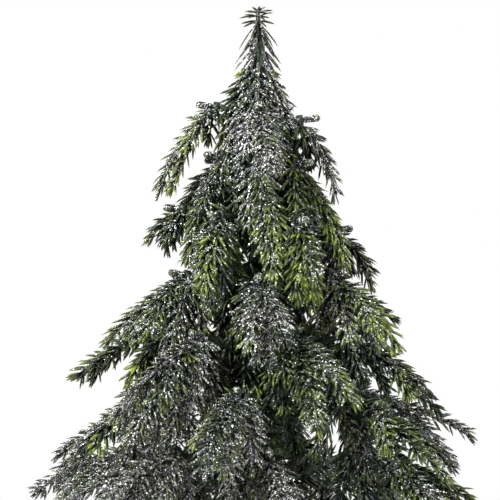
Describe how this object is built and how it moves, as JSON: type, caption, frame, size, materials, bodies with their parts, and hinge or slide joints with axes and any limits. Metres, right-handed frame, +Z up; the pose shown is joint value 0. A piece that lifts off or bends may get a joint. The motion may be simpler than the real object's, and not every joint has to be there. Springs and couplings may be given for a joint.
{
  "type": "artificial tabletop tree",
  "caption": "Small artificial evergreen: drooping glittered moulded sprays on the barbed pegs of a moulded stem, over a weighted cloth base.",
  "frame": {"origin": "centre of the base pad's lower face, on the tree's axis", "axes": "+Z up along the trunk to the tip; -Y is the front, +X the right side seen from the front"},
  "size_m": [0.242, 0.242, 0.355],
  "materials": {
    "foliage": "satin moulded polyethylene, dark green with lime tips and silver glitter",
    "stem_plastic": "satin moulded polyethylene",
    "rod_steel": "drawn steel rod",
    "trunk_tape": "crinkled brown paper tape",
    "plaster": "cast plaster",
    "burlap": "plain-weave jute",
    "twine": "twisted jute",
    "felt": "pressed felt"
  },
  "bodies": {
    "trunk": {"base_pad": "felt", "base_plug": "plaster", "burlap_sack": "burlap", "twine_binding": "twine", "trunk_rod": "rod_steel", "trunk_tape": "trunk_tape", "stem_lower": "stem_plastic", "stem_middle": "stem_plastic", "stem_upper": "stem_plastic", "leader_spray": "foliage", "top_tuft": "foliage"},
    "spray_a1": {"spray_a1": "foliage"},
    "spray_a2": {"spray_a2": "foliage"},
    "spray_a3": {"spray_a3": "foliage"},
    "spray_a4": {"spray_a4": "foliage"},
    "spray_b1": {"spray_b1": "foliage"},
    "spray_b2": {"spray_b2": "foliage"},
    "spray_b3": {"spray_b3": "foliage"},
    "spray_b4": {"spray_b4": "foliage"},
    "spray_b5": {"spray_b5": "foliage"},
    "spray_b6": {"spray_b6": "foliage"},
    "spray_c1": {"spray_c1": "foliage"},
    "spray_c2": {"spray_c2": "foliage"},
    "spray_c3": {"spray_c3": "foliage"},
    "spray_c4": {"spray_c4": "foliage"},
    "spray_c5": {"spray_c5": "foliage"},
    "spray_c6": {"spray_c6": "foliage"},
    "spray_d1": {"spray_d1": "foliage"},
    "spray_d2": {"spray_d2": "foliage"},
    "spray_d3": {"spray_d3": "foliage"},
    "spray_d4": {"spray_d4": "foliage"},
    "spray_d5": {"spray_d5": "foliage"},
    "spray_d6": {"spray_d6": "foliage"},
    "spray_e1": {"spray_e1": "foliage"},
    "spray_e2": {"spray_e2": "foliage"},
    "spray_e3": {"spray_e3": "foliage"},
    "spray_e4": {"spray_e4": "foliage"},
    "spray_e5": {"spray_e5": "foliage"},
    "spray_e6": {"spray_e6": "foliage"},
    "spray_f1": {"spray_f1": "foliage"},
    "spray_f2": {"spray_f2": "foliage"},
    "spray_f3": {"spray_f3": "foliage"},
    "spray_f4": {"spray_f4": "foliage"},
    "spray_f5": {"spray_f5": "foliage"},
    "spray_f6": {"spray_f6": "foliage"},
    "spray_g1": {"spray_g1": "foliage"},
    "spray_g2": {"spray_g2": "foliage"},
    "spray_g3": {"spray_g3": "foliage"},
    "spray_g4": {"spray_g4": "foliage"},
    "spray_g5": {"spray_g5": "foliage"},
    "spray_g6": {"spray_g6": "foliage"},
    "spray_g7": {"spray_g7": "foliage"},
    "spray_h1": {"spray_h1": "foliage"},
    "spray_h2": {"spray_h2": "foliage"},
    "spray_h3": {"spray_h3": "foliage"},
    "spray_h4": {"spray_h4": "foliage"},
    "spray_h5": {"spray_h5": "foliage"},
    "spray_h6": {"spray_h6": "foliage"},
    "spray_h7": {"spray_h7": "foliage"},
    "spray_h8": {"spray_h8": "foliage"}
  },
  "joints": [
    {"name": "spray_a1_swivel", "type": "hinge", "parent": "trunk", "child": "spray_a1", "pos_m": [0.019, 0, 0.3025], "axis": [0.9903, 0, 0.1392], "range_deg": [-4, 4]},
    {"name": "spray_a2_swivel", "type": "hinge", "parent": "trunk", "child": "spray_a2", "pos_m": [0, 0.019, 0.3071], "axis": [0, 0.9903, 0.1392], "range_deg": [-4, 4]},
    {"name": "spray_a3_swivel", "type": "hinge", "parent": "trunk", "child": "spray_a3", "pos_m": [-0.019, 0, 0.3085], "axis": [-0.9903, 0, 0.1392], "range_deg": [-4, 4]},
    {"name": "spray_a4_swivel", "type": "hinge", "parent": "trunk", "child": "spray_a4", "pos_m": [0, -0.019, 0.3071], "axis": [0, -0.9903, 0.1392], "range_deg": [-4, 4]},
    {"name": "spray_b1_swivel", "type": "hinge", "parent": "trunk", "child": "spray_b1", "pos_m": [0.01645, 0.0095, 0.28107], "axis": [0.8655, 0.4997, 0.0349], "range_deg": [-4, 4]},
    {"name": "spray_b2_swivel", "type": "hinge", "parent": "trunk", "child": "spray_b2", "pos_m": [0, 0.019, 0.2844], "axis": [0, 0.9994, 0.0349], "range_deg": [-4, 4]},
    {"name": "spray_b3_swivel", "type": "hinge", "parent": "trunk", "child": "spray_b3", "pos_m": [-0.01645, 0.0095, 0.28453], "axis": [-0.8655, 0.4997, 0.0349], "range_deg": [-4, 4]},
    {"name": "spray_b4_swivel", "type": "hinge", "parent": "trunk", "child": "spray_b4", "pos_m": [-0.01645, -0.0095, 0.28613], "axis": [-0.8655, -0.4997, 0.0349], "range_deg": [-4, 4]},
    {"name": "spray_b5_swivel", "type": "hinge", "parent": "trunk", "child": "spray_b5", "pos_m": [0, -0.019, 0.2828], "axis": [0, -0.9994, 0.0349], "range_deg": [-4, 4]},
    {"name": "spray_b6_swivel", "type": "hinge", "parent": "trunk", "child": "spray_b6", "pos_m": [0.01645, -0.0095, 0.28267], "axis": [0.8655, -0.4997, 0.0349], "range_deg": [-4, 4]},
    {"name": "spray_c1_swivel", "type": "hinge", "parent": "trunk", "child": "spray_c1", "pos_m": [0.034, 0, 0.253], "axis": [0.9994, 0, 0.0349], "range_deg": [-4, 4]},
    {"name": "spray_c2_swivel", "type": "hinge", "parent": "trunk", "child": "spray_c2", "pos_m": [0.017, 0.02944, 0.2566], "axis": [0.4997, 0.8655, 0.0349], "range_deg": [-4, 4]},
    {"name": "spray_c3_swivel", "type": "hinge", "parent": "trunk", "child": "spray_c3", "pos_m": [-0.017, 0.02944, 0.259], "axis": [-0.4997, 0.8655, 0.0349], "range_deg": [-4, 4]},
    {"name": "spray_c4_swivel", "type": "hinge", "parent": "trunk", "child": "spray_c4", "pos_m": [-0.034, 0, 0.2626], "axis": [-0.9994, 0, 0.0349], "range_deg": [-4, 4]},
    {"name": "spray_c5_swivel", "type": "hinge", "parent": "trunk", "child": "spray_c5", "pos_m": [-0.017, -0.02944, 0.259], "axis": [-0.4997, -0.8655, 0.0349], "range_deg": [-4, 4]},
    {"name": "spray_c6_swivel", "type": "hinge", "parent": "trunk", "child": "spray_c6", "pos_m": [0.017, -0.02944, 0.2566], "axis": [0.4997, -0.8655, 0.0349], "range_deg": [-4, 4]},
    {"name": "spray_d1_swivel", "type": "hinge", "parent": "trunk", "child": "spray_d1", "pos_m": [0.03204, 0.0185, 0.2306], "axis": [0.8529, 0.4924, 0.1736], "range_deg": [-4, 4]},
    {"name": "spray_d2_swivel", "type": "hinge", "parent": "trunk", "child": "spray_d2", "pos_m": [0, 0.037, 0.2322], "axis": [0, 0.9848, 0.1736], "range_deg": [-4, 4]},
    {"name": "spray_d3_swivel", "type": "hinge", "parent": "trunk", "child": "spray_d3", "pos_m": [-0.03204, 0.0185, 0.2306], "axis": [-0.8529, 0.4924, 0.1736], "range_deg": [-4, 4]},
    {"name": "spray_d4_swivel", "type": "hinge", "parent": "trunk", "child": "spray_d4", "pos_m": [-0.03204, -0.0185, 0.2322], "axis": [-0.8529, -0.4924, 0.1736], "range_deg": [-4, 4]},
    {"name": "spray_d5_swivel", "type": "hinge", "parent": "trunk", "child": "spray_d5", "pos_m": [0, -0.037, 0.2306], "axis": [0, -0.9848, 0.1736], "range_deg": [-4, 4]},
    {"name": "spray_d6_swivel", "type": "hinge", "parent": "trunk", "child": "spray_d6", "pos_m": [0.03204, -0.0185, 0.2322], "axis": [0.8529, -0.4924, 0.1736], "range_deg": [-4, 4]},
    {"name": "spray_e1_swivel", "type": "hinge", "parent": "trunk", "child": "spray_e1", "pos_m": [0.03961, -0.00557, 0.205], "axis": [0.9519, -0.1338, 0.2756], "range_deg": [-4, 4]},
    {"name": "spray_e2_swivel", "type": "hinge", "parent": "trunk", "child": "spray_e2", "pos_m": [0.02463, 0.03152, 0.2066], "axis": [0.5918, 0.7575, 0.2756], "range_deg": [-4, 4]},
    {"name": "spray_e3_swivel", "type": "hinge", "parent": "trunk", "child": "spray_e3", "pos_m": [-0.01498, 0.03709, 0.205], "axis": [-0.3601, 0.8913, 0.2756], "range_deg": [-4, 4]},
    {"name": "spray_e4_swivel", "type": "hinge", "parent": "trunk", "child": "spray_e4", "pos_m": [-0.03961, 0.00557, 0.2066], "axis": [-0.9519, 0.1338, 0.2756], "range_deg": [-4, 4]},
    {"name": "spray_e5_swivel", "type": "hinge", "parent": "trunk", "child": "spray_e5", "pos_m": [-0.02463, -0.03152, 0.205], "axis": [-0.5918, -0.7575, 0.2756], "range_deg": [-4, 4]},
    {"name": "spray_e6_swivel", "type": "hinge", "parent": "trunk", "child": "spray_e6", "pos_m": [0.01498, -0.03709, 0.2066], "axis": [0.3601, -0.8913, 0.2756], "range_deg": [-4, 4]},
    {"name": "spray_f1_swivel", "type": "hinge", "parent": "trunk", "child": "spray_f1", "pos_m": [0.04417, 0.01607, 0.18], "axis": [0.8773, 0.3193, 0.3584], "range_deg": [-4, 4]},
    {"name": "spray_f2_swivel", "type": "hinge", "parent": "trunk", "child": "spray_f2", "pos_m": [0.00816, 0.04629, 0.1816], "axis": [0.1621, 0.9194, 0.3584], "range_deg": [-4, 4]},
    {"name": "spray_f3_swivel", "type": "hinge", "parent": "trunk", "child": "spray_f3", "pos_m": [-0.036, 0.03021, 0.18], "axis": [-0.7152, 0.6001, 0.3584], "range_deg": [-4, 4]},
    {"name": "spray_f4_swivel", "type": "hinge", "parent": "trunk", "child": "spray_f4", "pos_m": [-0.04417, -0.01607, 0.1816], "axis": [-0.8773, -0.3193, 0.3584], "range_deg": [-4, 4]},
    {"name": "spray_f5_swivel", "type": "hinge", "parent": "trunk", "child": "spray_f5", "pos_m": [-0.00816, -0.04629, 0.18], "axis": [-0.1621, -0.9194, 0.3584], "range_deg": [-4, 4]},
    {"name": "spray_f6_swivel", "type": "hinge", "parent": "trunk", "child": "spray_f6", "pos_m": [0.036, -0.03021, 0.1816], "axis": [0.7152, -0.6001, 0.3584], "range_deg": [-4, 4]},
    {"name": "spray_g1_swivel", "type": "hinge", "parent": "trunk", "child": "spray_g1", "pos_m": [-0.04951, 0.00696, 0.153], "axis": [-0.9115, 0.1281, 0.3907], "range_deg": [-4, 4]},
    {"name": "spray_g2_swivel", "type": "hinge", "parent": "trunk", "child": "spray_g2", "pos_m": [-0.03631, -0.03437, 0.1546], "axis": [-0.6685, -0.6328, 0.3907], "range_deg": [-4, 4]},
    {"name": "spray_g3_swivel", "type": "hinge", "parent": "trunk", "child": "spray_g3", "pos_m": [0.00423, -0.04982, 0.153], "axis": [0.0779, -0.9172, 0.3907], "range_deg": [-4, 4]},
    {"name": "spray_g4_swivel", "type": "hinge", "parent": "trunk", "child": "spray_g4", "pos_m": [0.04159, -0.02775, 0.1546], "axis": [0.7657, -0.5109, 0.3907], "range_deg": [-4, 4]},
    {"name": "spray_g5_swivel", "type": "hinge", "parent": "trunk", "child": "spray_g5", "pos_m": [0.04763, 0.01521, 0.153], "axis": [0.8769, 0.2801, 0.3907], "range_deg": [-4, 4]},
    {"name": "spray_g6_swivel", "type": "hinge", "parent": "trunk", "child": "spray_g6", "pos_m": [0.0178, 0.04672, 0.1546], "axis": [0.3277, 0.8602, 0.3907], "range_deg": [-4, 4]},
    {"name": "spray_g7_swivel", "type": "hinge", "parent": "trunk", "child": "spray_g7", "pos_m": [-0.02543, 0.04305, 0.153], "axis": [-0.4682, 0.7926, 0.3907], "range_deg": [-4, 4]},
    {"name": "spray_h1_swivel", "type": "hinge", "parent": "trunk", "child": "spray_h1", "pos_m": [0.06, 0, 0.121], "axis": [0.9135, 0, 0.4067], "range_deg": [-4, 4]},
    {"name": "spray_h2_swivel", "type": "hinge", "parent": "trunk", "child": "spray_h2", "pos_m": [0.04243, 0.04243, 0.1226], "axis": [0.646, 0.646, 0.4067], "range_deg": [-4, 4]},
    {"name": "spray_h3_swivel", "type": "hinge", "parent": "trunk", "child": "spray_h3", "pos_m": [0, 0.06, 0.121], "axis": [0, 0.9135, 0.4067], "range_deg": [-4, 4]},
    {"name": "spray_h4_swivel", "type": "hinge", "parent": "trunk", "child": "spray_h4", "pos_m": [-0.04243, 0.04243, 0.1226], "axis": [-0.646, 0.646, 0.4067], "range_deg": [-4, 4]},
    {"name": "spray_h5_swivel", "type": "hinge", "parent": "trunk", "child": "spray_h5", "pos_m": [-0.06, 0, 0.121], "axis": [-0.9135, 0, 0.4067], "range_deg": [-4, 4]},
    {"name": "spray_h6_swivel", "type": "hinge", "parent": "trunk", "child": "spray_h6", "pos_m": [-0.04243, -0.04243, 0.1226], "axis": [-0.646, -0.646, 0.4067], "range_deg": [-4, 4]},
    {"name": "spray_h7_swivel", "type": "hinge", "parent": "trunk", "child": "spray_h7", "pos_m": [0, -0.06, 0.121], "axis": [0, -0.9135, 0.4067], "range_deg": [-4, 4]},
    {"name": "spray_h8_swivel", "type": "hinge", "parent": "trunk", "child": "spray_h8", "pos_m": [0.04243, -0.04243, 0.1226], "axis": [0.646, -0.646, 0.4067], "range_deg": [-4, 4]}
  ]
}
